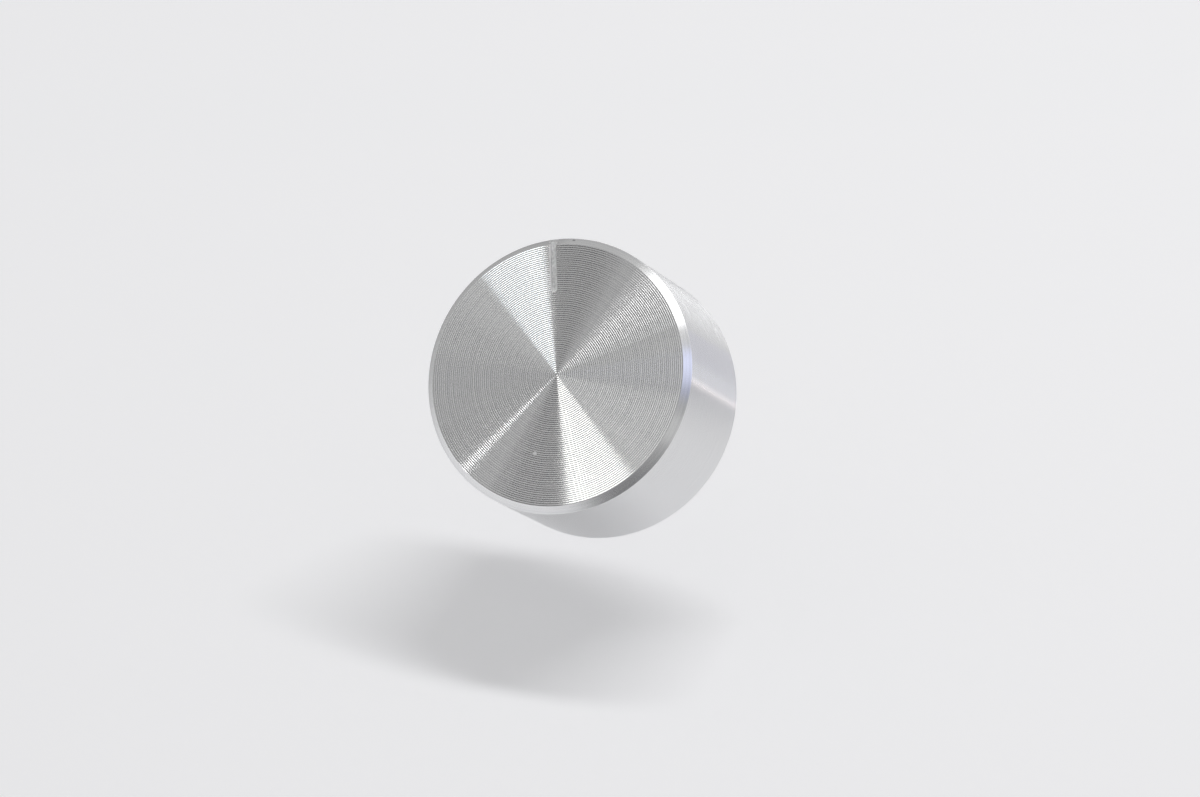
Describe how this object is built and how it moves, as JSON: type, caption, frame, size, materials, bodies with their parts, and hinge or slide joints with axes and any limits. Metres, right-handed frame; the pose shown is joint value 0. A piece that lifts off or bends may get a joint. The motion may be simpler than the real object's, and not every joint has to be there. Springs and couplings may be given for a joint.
{
  "type": "control knob",
  "caption": "Round turned aluminium control knob with a finely grooved face, a chamfered edge and a milled pointer slot, held on a plain round shaft by a grub screw.",
  "frame": {"origin": "centre of the rear rim's plane, on the axis of the knob and its shaft bore", "axes": "+Y along the knob's axis, out of the shaft bore towards the panel, so the face looks towards -Y; +Z towards the pointer slot; +X to the right as seen from the front"},
  "size_m": [0.04, 0.021, 0.04],
  "materials": {
    "aluminium_turned": "turned, bare metal, with fine concentric grooves on the face",
    "steel_blackened": "black oxide"
  },
  "bodies": {
    "root": {"knob_body": "aluminium_turned", "grub_screw": "steel_blackened"}
  },
  "joints": []
}
